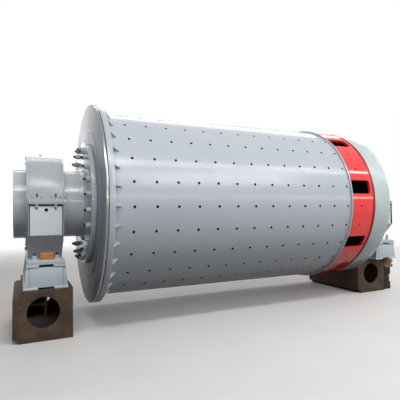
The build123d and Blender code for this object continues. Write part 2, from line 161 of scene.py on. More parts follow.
# %% Make the camera
CAMERA_PLACE = Vector((-3.390, -6.036, 1.622))
CAMERA_YAW = math.radians(25.14)
CAMERA_PITCH = math.radians(1.68)
CAMERA_ROLL = math.radians(-0.60)
CAMERA_LENS = 34.34

forward = Vector(
    (
        math.sin(CAMERA_YAW) * math.cos(CAMERA_PITCH),
        math.cos(CAMERA_YAW) * math.cos(CAMERA_PITCH),
        math.sin(CAMERA_PITCH),
    )
)
level_right = Vector((math.cos(CAMERA_YAW), -math.sin(CAMERA_YAW), 0))
level_up = level_right.cross(forward)
right = level_right * math.cos(CAMERA_ROLL) + level_up * math.sin(CAMERA_ROLL)
up = level_up * math.cos(CAMERA_ROLL) - level_right * math.sin(CAMERA_ROLL)

bpy.ops.object.select_all(action="DESELECT")
bpy.ops.object.camera_add()
camera = bpy.context.active_object
camera.name = "camera"
camera.data.lens = CAMERA_LENS
camera.data.sensor_width = 36
camera.data.clip_end = 200
camera.matrix_world = Matrix(
    (
        (right.x, up.x, -forward.x, CAMERA_PLACE.x),
        (right.y, up.y, -forward.y, CAMERA_PLACE.y),
        (right.z, up.z, -forward.z, CAMERA_PLACE.z),
        (0, 0, 0, 1),
    )
)
bpy.context.scene.camera = camera
print("camera looks along", [round(v, 3) for v in forward])

# %% [markdown]
# ## Materials: helpers
# Colours are written as sRGB hex values, as a paint chart gives them, and one function turns
# them into the linear values that the shader works with. One more function adds a node, sets
# it, and joins it to the nodes before it. Dust, rust and wear all lie in patches, so a third one
# lays patches of one colour over another where a noise is high.

# %% Helpers for colours and nodes
def linear(code):
    """Linear colour of an sRGB hex value."""
    channels = []
    for start in (1, 3, 5):
        value = int(code[start:start + 2], 16) / 255
        channels.append(value / 12.92 if value <= 0.04045 else ((value + 0.055) / 1.055) ** 2.4)
    return (*channels, 1.0)


def add_node(tree, kind, inputs=None, **settings):
    """Add one node with its settings, and fill its inputs with values or links."""
    made = tree.nodes.new(kind)
    for name, value in settings.items():
        setattr(made, name, value)
    for socket, value in (inputs or {}).items():
        if isinstance(value, bpy.types.NodeSocket):
            tree.links.new(value, made.inputs[socket])
        else:
            made.inputs[socket].default_value = value
    return made


def new_material(name):
    """Empty node material with its tree, its shader and its object coordinates."""
    material = bpy.data.materials.new(name)
    material.use_nodes = True
    tree = material.node_tree
    shader = tree.nodes["Principled BSDF"]
    place = add_node(tree, "ShaderNodeTexCoord").outputs["Object"]
    return material, tree, shader, place


def pattern_scale(millimetres):
    """Noise scale, in cycles per metre, for a feature of that size."""
    return 1000 / millimetres


def in_patches(tree, noise, rise, under, over, most=1.0):
    """Colour that passes from one to another where a noise rises from a low to a high value."""
    low, high = rise
    share = add_node(
        tree, "ShaderNodeMapRange",
        {"Value": noise.outputs["Fac"], "From Min": low, "From Max": high, "To Max": most},
    )
    colour = add_node(
        tree, "ShaderNodeMix", {"Factor": share.outputs["Result"], 6: under, 7: over},
        data_type="RGBA",
    )
    return colour.outputs[2]


# %% [markdown]
# ## Paint on rolled plate
# The drum is sprayed with light blue-grey alkyd enamel over rolled plate. Sprayed enamel dries
# with a fine orange peel, the plate under it keeps slow waves from the rolls, and workshop dust
# settles in soft clouds. Slow colour clouds, a wavy bump and a fine bump give all three. A plain
# even colour would look like plastic on surfaces as large as these.

# %% Helper: sprayed enamel
def sprayed_enamel(name, colour, dusty, roughness, wave_height=0.0010):
    """Enamel with dust clouds, roller waves in the plate under it, and fine orange peel."""
    material, tree, shader, place = new_material(name)
    clouds = add_node(
        tree, "ShaderNodeTexNoise",
        {"Vector": place, "Scale": pattern_scale(420), "Detail": 5.0, "Roughness": 0.6},
    )
    cloudy = in_patches(tree, clouds, (0.38, 0.68), linear(colour), linear(dusty))
    specks = add_node(
        tree, "ShaderNodeTexNoise",
        {"Vector": place, "Scale": pattern_scale(38), "Detail": 3.0, "Roughness": 0.7},
    )
    speckled = in_patches(tree, specks, (0.62, 0.82), cloudy, linear(dusty), most=0.25)
    sheen = add_node(
        tree, "ShaderNodeMapRange",
        {
            "Value": clouds.outputs["Fac"],
            "From Min": 0.3,
            "From Max": 0.7,
            "To Min": roughness - 0.02,
            "To Max": roughness + 0.04,
        },
    )
    stretched = add_node(
        tree, "ShaderNodeMapping", {"Vector": place, "Scale": (0.35, 1.0, 1.0)}
    )
    waves = add_node(
        tree, "ShaderNodeTexNoise",
        {"Vector": stretched.outputs["Vector"], "Scale": pattern_scale(340), "Detail": 1.0},
    )
    wavy = add_node(
        tree, "ShaderNodeBump",
        {"Height": waves.outputs["Fac"], "Distance": wave_height, "Strength": 1.0},
    )
    # Real orange peel is 2 mm across, too fine to show, so it is drawn at 9 mm.
    peel = add_node(
        tree, "ShaderNodeTexNoise",
        {"Vector": place, "Scale": pattern_scale(9), "Detail": 1.0},
    )
    fine = add_node(
        tree, "ShaderNodeBump",
        {
            "Height": peel.outputs["Fac"],
            "Distance": 0.0004,
            "Strength": 0.35,
            "Normal": wavy.outputs["Normal"],
        },
    )
    tree.links.new(speckled, shader.inputs["Base Color"])
    tree.links.new(sheen.outputs["Result"], shader.inputs["Roughness"])
    tree.links.new(fine.outputs["Normal"], shader.inputs["Normal"])
    return material


# %% Paints of the drum, the bearings and the pedestals
# Satin over slowly waving plate: the lamps draw long soft streaks along the drum.
shell_paint = sprayed_enamel("satin_blue_grey_alkyd_enamel", "#AFB5BC", "#ABB1B8", 0.22)
# The upright head is darker and duller than the shell.
head_paint = sprayed_enamel("dark_dull_blue_grey_alkyd_enamel", "#838A94", "#7A8088", 0.34)
# Turned steel is even under its paint, so the trunnions show sharp bright lines.
trunnion_paint = sprayed_enamel(
    "smooth_grey_enamel_over_turned_steel", "#C4C9CF", "#BDC2C8", 0.15, wave_height=0.0003
)
# Fresh gloss on a stiff ring: a strong even red with crisp highlights.
red_paint = sprayed_enamel(
    "bright_red_alkyd_enamel", "#F23330", "#EA2F2C", 0.08, wave_height=0.0004
)
# Painted shade: the groove's red is drawn deep and dull, as the shade that lies in it.
groove_painted_shade = sprayed_enamel("shaded_red_alkyd_enamel", "#971A26", "#7E161F", 0.35)
# A smooth turned ring in a colder grey, so that it stands out from the shell.
end_ring_paint = sprayed_enamel(
    "pale_grey_alkyd_enamel", "#B6C2C4", "#B3BFC1", 0.28, wave_height=0.0004
)
# Castings shine softly and broadly under their paint.
bearing_paint = sprayed_enamel("light_grey_alkyd_enamel", "#B0B4BA", "#ABAFB5", 0.25)
# Primer with no gloss coat over it is pale and chalky, and mirrors nothing.
pedestal_paint = sprayed_enamel("pale_blue_green_primer_enamel", "#C2CCD3", "#BBC6CD", 0.42)
cover_paint = sprayed_enamel("pale_grey_primer_enamel", "#DADDDF", "#D4D7D9", 0.42)
print("paints:", [m.name for m in bpy.data.materials if "enamel" in m.name])

# %% [markdown]
# ## Rusty plate and small metal parts
# The stands are hot-rolled plate that was never painted: mill scale, brown rust and pale
# scuffs lie in patches of a few centimetres, and nothing shines. Two noises do this, a coarse one
# for the rust and a finer one for the scuffs. The same recipe in near black is the bare scale
# inside the drum, and it is also painted shade in holes, seams and the drum's inside. The bush is
# bored bronze, the studs are blackened steel and the nuts are painted with the machine. Small worn
# patches keep all three from looking flat.

# %% Rusty hot-rolled plate
def rusty_plate(name, scale_colour, rust, scuff):
    """Mill scale broken up by rust, with pale scuffs and a pitted bump."""
    material, tree, shader, place = new_material(name)
    patches = add_node(
        tree, "ShaderNodeTexNoise",
        {"Vector": place, "Scale": pattern_scale(210), "Detail": 8.0, "Roughness": 0.65},
    )
    rusted = in_patches(tree, patches, (0.40, 0.60), linear(scale_colour), linear(rust))
    scratches = add_node(
        tree, "ShaderNodeTexNoise",
        {"Vector": place, "Scale": pattern_scale(46), "Detail": 6.0, "Distortion": 1.2},
    )
    scuffed = in_patches(tree, scratches, (0.60, 0.74), rusted, linear(scuff), most=0.6)
    dull = add_node(
        tree, "ShaderNodeMapRange",
        {"Value": patches.outputs["Fac"], "To Min": 0.62, "To Max": 0.95},
    )
    # Rust pits are about 1 mm across, too fine to show, so they are drawn at 7 mm.
    pits = add_node(
        tree, "ShaderNodeTexNoise",
        {"Vector": place, "Scale": pattern_scale(7), "Detail": 3.0, "Roughness": 0.7},
    )
    pitted = add_node(
        tree, "ShaderNodeBump",
        {"Height": pits.outputs["Fac"], "Distance": 0.0012, "Strength": 0.6},
    )
    tree.links.new(scuffed, shader.inputs["Base Color"])
    tree.links.new(dull.outputs["Result"], shader.inputs["Roughness"])
    tree.links.new(pitted.outputs["Normal"], shader.inputs["Normal"])
    shader.inputs["Specular IOR Level"].default_value = 0.3
    return material


# Brown, patchy and dull, so the stands read as bare steel beside all the paint.
stand_steel = rusty_plate("rusty_hot_rolled_plate", "#443830", "#5C493A", "#7E6D5B")
# Bare scale and painted shade: so dark that holes, seams and the inside of the drum read as deep.
bare_steel_and_painted_shade = rusty_plate("mill_scale_and_painted_shade", "#1B1A19", "#241E1A", "#302C29")
print("bare plate:", stand_steel.name, bare_steel_and_painted_shade.name)

# %% Bronze, black stud ends and painted nuts
def plain_metal(name, colour, worn, roughness, metallic):
    """Metal, or painted steel, with small worn patches."""
    material, tree, shader, place = new_material(name)
    wear = add_node(
        tree, "ShaderNodeTexNoise",
        {"Vector": place, "Scale": pattern_scale(12), "Detail": 4.0, "Roughness": 0.6},
    )
    tone = in_patches(tree, wear, (0.42, 0.66), linear(colour), linear(worn))
    dull = add_node(
        tree, "ShaderNodeMapRange",
        {"Value": wear.outputs["Fac"], "To Min": roughness - 0.1, "To Max": roughness + 0.1},
    )
    tree.links.new(tone, shader.inputs["Base Color"])
    tree.links.new(dull.outputs["Result"], shader.inputs["Roughness"])
    shader.inputs["Metallic"].default_value = metallic
    return material


# Bronze gives a thin warm line round each journal, and dark stud ends set off the pale nuts.
bush_bronze = plain_metal("bored_bearing_bronze", "#B08A55", "#9A7848", 0.35, 1.0)
stud_steel = plain_metal("black_oxide_stud_steel", "#2C2D31", "#4A4A4D", 0.50, 0.6)
nut_steel = plain_metal("grey_painted_nut_steel", "#C6CACF", "#ABAFB4", 0.36, 0.0)
print("metals:", bush_bronze.name, stud_steel.name, nut_steel.name)

# %% [markdown]
# ## Timber
# Sawn wood shows its growth rings as long stripes. A wave texture that is stretched along the
# grain draws them, and no picture of wood is needed. Real rings are about 4 mm wide, too fine to
# show, so they are drawn 18 mm wide, and 28 mm in the sleepers. Dirt lies over them in clouds.

# %% Sawn timber
# A wave texture repeats after this much of its own coordinates.
WAVE_PERIOD = math.tau / 20
STRETCH_ALONG = {"X": (0.08, 1.0, 1.0), "Y": (1.0, 0.08, 1.0)}


def sawn_timber(name, early, late, dirt, grain_along, ring=17.76):
    """Timber with growth rings along one axis and dirt in clouds."""
    material, tree, shader, place = new_material(name)
    along = add_node(
        tree, "ShaderNodeMapping", {"Vector": place, "Scale": STRETCH_ALONG[grain_along]}
    )
    rings = add_node(
        tree, "ShaderNodeTexWave",
        {
            "Vector": along.outputs["Vector"],
            "Scale": pattern_scale(ring) * WAVE_PERIOD,
            "Distortion": 9.0,
            "Detail": 3.0,
            "Detail Scale": 1.4,
        },
        wave_type="RINGS",
        rings_direction=grain_along,
    )
    wood = add_node(
        tree, "ShaderNodeMix",
        {"Factor": rings.outputs["Fac"], 6: linear(early), 7: linear(late)},
        data_type="RGBA",
    )
    clouds = add_node(
        tree, "ShaderNodeTexNoise",
        {"Vector": along.outputs["Vector"], "Scale": pattern_scale(60), "Detail": 5.0},
    )
    dirty = in_patches(tree, clouds, (0.45, 0.75), wood.outputs[2], linear(dirt), most=0.5)
    fibres = add_node(
        tree, "ShaderNodeBump",
        {"Height": rings.outputs["Fac"], "Distance": 0.0012, "Strength": 0.5},
    )
    tree.links.new(dirty, shader.inputs["Base Color"])
    tree.links.new(fibres.outputs["Normal"], shader.inputs["Normal"])
    shader.inputs["Roughness"].default_value = 0.82
    shader.inputs["Specular IOR Level"].default_value = 0.25
    return material


# The block is freshly sawn and orange, the boards have gone grey, and the sleepers are very dark.
block_timber = sawn_timber("sawn_softwood", "#D79A60", "#B9773F", "#9A6236", "X")
plank_timber = sawn_timber("weathered_boards", "#A08A72", "#84705B", "#5E5145", "Y")
sleeper_timber = sawn_timber(
    "dark_brown_sleepers", "#3B322B", "#2B2521", "#57493B", "Y", ring=27.62
)
print("timbers:", block_timber.name, plank_timber.name, sleeper_timber.name)

# %% [markdown]
# ## Machined rim of the feed head
# The head is painted like the drum, but its rim was turned to size and left bare, so it shows
# steel with brown rust. One material does both: it measures the distance from the drum's axis,
# and beyond a set radius it changes from paint to metal. So the border is sharp and round
# whatever the faces of the mesh are.

# %% Feed head: paint with a bare turned rim
RIM_BARE_FROM = 1.4795


def bare_rim(material, bare, rust):
    """Bare turned steel with rust on the outside of the rim, over the paint of the face."""
    tree = material.node_tree
    shader = tree.nodes["Principled BSDF"]
    place = add_node(tree, "ShaderNodeTexCoord").outputs["Object"]
    offset = add_node(
        tree, "ShaderNodeVectorMath", {0: place, 1: DRUM_AXIS}, operation="SUBTRACT"
    )
    across = add_node(
        tree, "ShaderNodeVectorMath",
        {0: offset.outputs["Vector"], 1: (0.0, 1.0, 1.0)},
        operation="MULTIPLY",
    )
    radius = add_node(
        tree, "ShaderNodeVectorMath", {0: across.outputs["Vector"]}, operation="LENGTH"
    )
    rim = add_node(
        tree, "ShaderNodeMath",
        {0: radius.outputs["Value"], 1: RIM_BARE_FROM},
        operation="GREATER_THAN",
    )
    patches = add_node(
        tree, "ShaderNodeTexNoise",
        {"Vector": place, "Scale": pattern_scale(150), "Detail": 6.0, "Roughness": 0.65},
    )
    rust_share = add_node(
        tree, "ShaderNodeMapRange",
        {"Value": patches.outputs["Fac"], "From Min": 0.60, "From Max": 0.70},
    )
    steel = add_node(
        tree, "ShaderNodeMix",
        {"Factor": rust_share.outputs["Result"], 6: linear(bare), 7: linear(rust)},
        data_type="RGBA",
    )
    old_colour = shader.inputs["Base Color"].links[0].from_socket
    old_roughness = shader.inputs["Roughness"].links[0].from_socket
    colour = add_node(
        tree, "ShaderNodeMix",
        {"Factor": rim.outputs["Value"], 6: old_colour, 7: steel.outputs[2]},
        data_type="RGBA",
    )
    steel_roughness = add_node(
        tree, "ShaderNodeMapRange",
        {"Value": rust_share.outputs["Result"], "To Min": 0.25, "To Max": 0.75},
    )
    roughness = add_node(
        tree, "ShaderNodeMix",
        {
            "Factor": rim.outputs["Value"],
            "A": old_roughness,
            "B": steel_roughness.outputs["Result"],
        },
    )
    shine = add_node(
        tree, "ShaderNodeMapRange",
        {"Value": rust_share.outputs["Result"], "To Min": 1.0, "To Max": 0.1},
    )
    metallic = add_node(
        tree, "ShaderNodeMath",
        {0: rim.outputs["Value"], 1: shine.outputs["Result"]},
        operation="MULTIPLY",
    )
    tree.links.new(colour.outputs[2], shader.inputs["Base Color"])
    tree.links.new(roughness.outputs[0], shader.inputs["Roughness"])
    tree.links.new(metallic.outputs["Value"], shader.inputs["Metallic"])


bare_rim(head_paint, "#95928F", "#6E5142")
print("feed head rim is bare from radius", RIM_BARE_FROM)

# %% [markdown]
# ## Finishes of the CAD nodes
# Most CAD nodes have the right shape and only need their finish. The record names a material
# slot for each of them, so one table from slot to finish serves them all. The covers of the
# bearings share the pedestals' slot but were sprayed by themselves, so they are set after it.

# %% Give every CAD node its finish
FINISHES = {
    "shell_paint": shell_paint,
    "head_paint": head_paint,
    "trunnion_steel": trunnion_paint,
    "red_primer": red_paint,
    "end_ring_paint": end_ring_paint,
    "bearing_paint": bearing_paint,
    "bush_bronze": bush_bronze,
    "pedestal_paint": pedestal_paint,
    "stand_steel": stand_steel,
    "block_timber": block_timber,
    "plank_timber": plank_timber,
    "sleeper_timber": sleeper_timber,
}
for subpart in frame["record"]["subparts"]:
    node = cad_nodes[subpart["node"]]
    node.data.materials.clear()
    node.data.materials.append(FINISHES[subpart["material_slot"]])
# The covers are a little paler than the pedestals.
for node_name in ("feed_bearing_covers", "discharge_bearing_covers"):
    cad_nodes[node_name].data.materials[0] = cover_paint

# %% [markdown]
# ## Drilled shell
# The liners inside the drum are held by bolts, and before they are fitted the shell shows 27
# rows of 13 drilled holes. Cutting 351 holes out of a cylinder leaves a ragged mesh, so one
# flat tile with one hole is made instead, repeated in two directions, and the sheet is bent
# into a full circle. Then every hole is round and every face lies on the cylinder.

# %% Numbers of the hole pattern
HOLE_RADIUS = 0.019
HOLE_CORNERS = 16
HOLE_PITCH = 0.300
HOLE_COLUMNS = 13
HOLE_ROWS = 27
FIRST_HOLE_X = -2.103
ROW_TURN = 2 * math.pi / HOLE_ROWS
FIRST_ROW_TURN = math.radians(-3.15)
TILE_SIDE_FACES = 4
ROW_ARC = SHELL_RADIUS * ROW_TURN
LOWEST_ROW_Z = SHELL_RADIUS * FIRST_ROW_TURN - (HOLE_ROWS // 2) * ROW_ARC
print("holes:", HOLE_COLUMNS * HOLE_ROWS, "row spacing along the plate:", round(ROW_ARC, 4))

# %% One tile of plate, standing up and facing the viewer
bpy.ops.object.select_all(action="DESELECT")
bpy.ops.mesh.primitive_grid_add(
    x_subdivisions=TILE_SIDE_FACES,
    y_subdivisions=TILE_SIDE_FACES,
    size=1,
    rotation=(math.pi / 2, 0, 0),
)
bpy.ops.object.transform_apply(rotation=True)
INSIDE_BORDER = 0.49
drilled_shell = begin("drilled_shell")
# The inner corners go, so that only the border is left for the hole to be bridged to.
pick(drilled_shell, "verts", lambda v: max(abs(v.co.x), abs(v.co.z)) < INSIDE_BORDER)
bpy.ops.mesh.delete(type="VERT")
bpy.ops.mesh.select_all(action="SELECT")
bpy.ops.transform.resize(value=(HOLE_PITCH, 1, ROW_ARC))
bpy.ops.mesh.primitive_circle_add(
    vertices=HOLE_CORNERS, radius=HOLE_RADIUS, rotation=(math.pi / 2, 0, 0)
)
bpy.ops.mesh.select_all(action="SELECT")
bpy.ops.mesh.bridge_edge_loops(number_cuts=2, interpolation="LINEAR")
bpy.ops.mesh.select_all(action="SELECT")
bpy.ops.transform.translate(value=(FIRST_HOLE_X, 0, LOWEST_ROW_Z))
bpy.ops.object.mode_set(mode="OBJECT")
print("tile faces:", len(drilled_shell.data.polygons))

# %% Repeat the tile, trim it at the discharge end and extend it to the feed end
TILE_SLACK = 0.0005
add_modifier(
    drilled_shell, "ARRAY", count=HOLE_COLUMNS, use_relative_offset=False,
    use_constant_offset=True, constant_offset_displace=(HOLE_PITCH, 0, 0),
    use_merge_vertices=True, merge_threshold=TILE_SLACK,
)
add_modifier(
    drilled_shell, "ARRAY", count=HOLE_ROWS, use_relative_offset=False,
    use_constant_offset=True, constant_offset_displace=(0, 0, ROW_ARC),
    use_merge_vertices=True, merge_threshold=TILE_SLACK,
)
only(drilled_shell)
bpy.ops.object.mode_set(mode="EDIT")
bpy.ops.mesh.select_all(action="SELECT")
bpy.ops.mesh.bisect(plane_co=(SHELL_END, 0, 0), plane_no=(1, 0, 0), clear_outer=True)
feed_edge = FIRST_HOLE_X - HOLE_PITCH / 2
count = pick(
    drilled_shell, "edges", lambda e: all(abs(v.co.x - feed_edge) < TILE_SLACK for v in e.verts)
)
bpy.ops.mesh.extrude_edges_move(
    TRANSFORM_OT_translate={"value": (SHELL_START - feed_edge, 0, 0)}
)
bpy.ops.object.mode_set(mode="OBJECT")
print("edges drawn out to the feed end:", count)


# %% Helper: bend a sheet round the axis, close its seam and give it its wall
def roll_up(piece, radius, wall):
    """Bend a sheet that stands at y = 0 into a ring of that radius, and thicken it inwards."""
    add_modifier(
        piece, "SIMPLE_DEFORM", deform_method="BEND", deform_axis="X", angle=2 * math.pi
    )
    piece.location = (0, -radius, AXIS_HEIGHT)
    settle(piece)
    add_modifier(piece, "WELD", merge_threshold=MILLIMETRE)
    only(piece)
    bpy.ops.object.mode_set(mode="EDIT")
    bpy.ops.mesh.select_all(action="SELECT")
    bpy.ops.mesh.normals_make_consistent(inside=False)
    bpy.ops.object.mode_set(mode="OBJECT")
    add_modifier(piece, "SOLIDIFY", thickness=wall, offset=-1.0)


# %% Helpers: find the faces that look inwards, and give them bare steel that is also painted shade
FACES_INWARDS = 0.9
NOT_OUTSIDE = -0.5


def towards_axis(face):
    """How far a face looks at the drum's axis, from 1 down to -1."""
    spoke = Vector((0, face.center.y, face.center.z - AXIS_HEIGHT)).normalized()
    return -spoke.dot(face.normal)


def give_bare_or_shade(piece, inside, finish=bare_steel_and_painted_shade):
    """Give the chosen faces near-black bare steel, which is also painted shade, or another finish,
    instead of the piece's paint.
    """
    piece.data.materials.append(finish)
    slot = len(piece.data.materials) - 1
    for face in piece.data.polygons:
        if inside(face):
            face.material_index = slot


# %% Roll the sheet up into the shell, and finish it
roll_up(drilled_shell, SHELL_RADIUS, SHELL_WALL)
smooth(drilled_shell)
drilled_shell.data.materials.append(shell_paint)
# The holes were drilled after painting, so their walls are bare as well. The walls and the inside
# get the near-black steel, which is painted shade in the holes and the drum.
give_bare_or_shade(drilled_shell, lambda face: towards_axis(face) > NOT_OUTSIDE)
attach(drilled_shell, "drum")
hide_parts("shell")
print("drilled shell triangles:", triangles(drilled_shell))

# %% [markdown]
# ## Red discharge ring
# The ground ore leaves through nine windows in a red ring, eighteen liner holes lie between them,
# and a shallow groove runs round its far edge. Here the openings are few and large, so they are
# cut with a Boolean: the cutters are a torus for the groove, boxes with two rounded corners for
# the windows and short rods for the holes, turned round the axis and joined.

# %% Plain ring, and a round cutter for the groove at its far edge
RING_RADIUS = 1.392
RING_WALL = 0.042
RING_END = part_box("discharge_ring")[1].x
RING_CORNERS = 216
GROOVE_ROUND = 0.030
GROOVE_RISE = 0.006
GROOVE_LIP = 0.003
GROOVE_CORNERS = 28

bpy.ops.object.select_all(action="DESELECT")
bpy.ops.mesh.primitive_cylinder_add(
    vertices=RING_CORNERS,
    radius=RING_RADIUS,
    depth=RING_END - SHELL_END,
    end_fill_type="NOTHING",
    location=((RING_END + SHELL_END) / 2, 0, AXIS_HEIGHT),
    rotation=(0, math.pi / 2, 0),
)
bpy.ops.object.transform_apply(location=True, rotation=True)
red_ring = bpy.context.active_object
red_ring.name = "red_ring"
red_ring.data.name = "red_ring"
add_modifier(red_ring, "SOLIDIFY", thickness=RING_WALL, offset=-1.0)

groove_half_width = math.sqrt(GROOVE_ROUND ** 2 - GROOVE_RISE ** 2)
bpy.ops.object.select_all(action="DESELECT")
bpy.ops.mesh.primitive_torus_add(
    major_segments=RING_CORNERS,
    minor_segments=GROOVE_CORNERS,
    major_radius=RING_RADIUS + GROOVE_RISE,
    minor_radius=GROOVE_ROUND,
    location=(RING_END - GROOVE_LIP - groove_half_width, 0, AXIS_HEIGHT),
    rotation=(0, math.pi / 2, 0),
)
groove_cutter = bpy.context.active_object
# A turn by half a corner keeps the cutter's corners off the ring's corners.
bpy.ops.transform.rotate(
    value=math.pi / RING_CORNERS, orient_axis="X", center_override=DRUM_AXIS
)
settle(groove_cutter)
print("groove:", round(2 * groove_half_width, 3), "wide,", GROOVE_ROUND - GROOVE_RISE, "deep")

# %% Helpers: turn about the axis, and copy a piece to its places
def turned(angle):
    """Turn about the drum's axis, from the front towards the top."""
    axis_place = Matrix.Translation(DRUM_AXIS)
    return axis_place @ Matrix.Rotation(-angle, 4, "X") @ axis_place.inverted()


def copy_to(piece, places, name):
    """Copy a piece to every place, each with its own mesh, and join the copies into one."""
    copies = []
    for place_matrix in places:
        copy = piece.copy()
        copy.data = piece.data.copy()
        bpy.context.scene.collection.objects.link(copy)
        copy.matrix_world = place_matrix
        copies.append(copy)
    bpy.ops.object.select_all(action="DESELECT")
    for copy in copies:
        copy.select_set(True)
    bpy.context.view_layer.objects.active = copies[0]
    bpy.ops.object.transform_apply(location=True, rotation=True, scale=True)
    if len(copies) > 1:
        bpy.ops.object.join()
    joined = bpy.context.active_object
    joined.name = name
    joined.data.name = name
    bpy.data.objects.remove(piece)
    return joined


# %% Cutters for the windows
WINDOW_COUNT = 9
WINDOW_TURN = 2 * math.pi / WINDOW_COUNT
FIRST_WINDOW_TURN = math.radians(10.17)
WINDOW_LENGTH = 0.429
WINDOW_END = SHELL_END + WINDOW_LENGTH
WINDOW_WIDTH = 0.232
WINDOW_CORNER = 0.046
WINDOW_CORNER_FACES = 6
WINDOW_OVERRUN = 0.05
CUT_DEPTH = 0.16

bpy.ops.object.select_all(action="DESELECT")
bpy.ops.mesh.primitive_cube_add(
    size=1,
    location=(SHELL_END + (WINDOW_LENGTH - WINDOW_OVERRUN) / 2, -RING_RADIUS, AXIS_HEIGHT),
    scale=(WINDOW_LENGTH + WINDOW_OVERRUN, CUT_DEPTH, WINDOW_WIDTH),
)
bpy.ops.object.transform_apply(location=True, scale=True)
window_cutter = begin("window_cutter")
pick(
    window_cutter, "edges",
    lambda e: all(v.co.x > WINDOW_END - MILLIMETRE for v in e.verts)
    and abs(e.verts[0].co.y - e.verts[1].co.y) > CUT_DEPTH / 2,
)
bpy.ops.mesh.bevel(offset=WINDOW_CORNER, segments=WINDOW_CORNER_FACES)
bpy.ops.object.mode_set(mode="OBJECT")
window_cutters = copy_to(
    window_cutter,
    [turned(FIRST_WINDOW_TURN + n * WINDOW_TURN) for n in range(WINDOW_COUNT)],
    "window_cutters",
)
print("windows:", WINDOW_COUNT, "each", WINDOW_LENGTH, "long and", WINDOW_WIDTH, "wide")

# %% Cutters for the holes between them
RING_HOLE_X = 1.787

bpy.ops.object.select_all(action="DESELECT")
bpy.ops.mesh.primitive_cylinder_add(
    vertices=HOLE_CORNERS,
    radius=HOLE_RADIUS,
    depth=CUT_DEPTH,
    location=(RING_HOLE_X, -RING_RADIUS, AXIS_HEIGHT),
    rotation=(math.pi / 2, 0, 0),
)
drill = bpy.context.active_object
settle(drill)
# Every third row of holes would fall into a window, so it is left out.
drills = copy_to(
    drill,
    [turned(FIRST_ROW_TURN + n * ROW_TURN) for n in range(HOLE_ROWS) if n % 3 != 1],
    "drills",
)
print("holes between the windows:", HOLE_ROWS - WINDOW_COUNT)

# %% Cut the ring, and finish its bore and its groove
SKIN = 0.002


def in_the_groove(face):
    """Whether a face lies below the ring's surface, between its windows and its far edge."""
    depth = RING_RADIUS - from_axis(face)
    return (
        SKIN < depth < RING_WALL - 2 * SKIN
        and WINDOW_END + SKIN < face.center.x < RING_END - GROOVE_LIP
    )


for cutter in (groove_cutter, window_cutters, drills):
    add_modifier(red_ring, "BOOLEAN", operation="DIFFERENCE", object=cutter, solver="EXACT")
    bpy.data.objects.remove(cutter)
smooth(red_ring)
red_ring.data.materials.clear()
red_ring.data.materials.append(red_paint)
# The bore gets the near-black steel: bare, and painted shade inside the drum.
give_bare_or_shade(red_ring, lambda face: towards_axis(face) > FACES_INWARDS)
# The groove's faces get the darker red, which is painted shade in the groove.
give_bare_or_shade(red_ring, in_the_groove, groove_painted_shade)
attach(red_ring, "drum")
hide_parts("window_bridges", "discharge_ring")
print("red ring triangles:", triangles(red_ring))

# %% [markdown]
# ## Studs and nuts
# Everything that comes apart for repairs is held by studs: a threaded rod with a nut and a
# washer. One bolt is made per size, standing on z = 0, from a six-sided prism with its corners
# turned off and a rod with thread grooves, and it is copied to every hole, so all of a kind are
# alike. Real threads are finer than a picture of the whole mill can show, so the grooves here are
# fewer and wider.

# %% Helper: hexagon
HEXAGON_CHAMFER = 0.10


def hexagon(name, across_flats, height, foot):
    """Six-sided nut or bolt head, its corners turned off at both ends."""
    bpy.ops.object.select_all(action="DESELECT")
    bpy.ops.mesh.primitive_cylinder_add(
        vertices=6,
        radius=across_flats / math.sqrt(3),
        depth=height,
        location=(0, 0, foot + height / 2),
    )
    bpy.ops.object.transform_apply(location=True)
    nut = begin(name)
    bpy.ops.mesh.select_all(action="SELECT")
    bpy.ops.mesh.bevel(offset=across_flats * HEXAGON_CHAMFER, affect="VERTICES", segments=1)
    bpy.ops.object.mode_set(mode="OBJECT")
    nut.data.materials.append(nut_steel)
    return nut


# %% Helper: washer
WASHER_CORNERS = 18
WASHER_EASE = 0.3


def washer_ring(name, radius, thickness):
    """Flat washer with its upper edge rounded over."""
    bpy.ops.object.select_all(action="DESELECT")
    bpy.ops.mesh.primitive_cylinder_add(
        vertices=WASHER_CORNERS, radius=radius, depth=thickness, location=(0, 0, thickness / 2)
    )
    bpy.ops.object.transform_apply(location=True)
    ring = begin(name + "_washer")
    pick(ring, "edges", lambda e: all(v.co.z > thickness / 2 for v in e.verts))
    bpy.ops.mesh.bevel(offset=thickness * WASHER_EASE, segments=1)
    bpy.ops.object.mode_set(mode="OBJECT")
    ring.data.materials.append(nut_steel)
    return ring


# %% Helper: threaded end of a stud
THREAD_CORNERS = 14
THREAD_WAIST = 0.9
THREAD_PITCH = 0.352
TIP_LENGTH = 0.15
TIP_WIDTH = 0.8
SUNK = 0.002


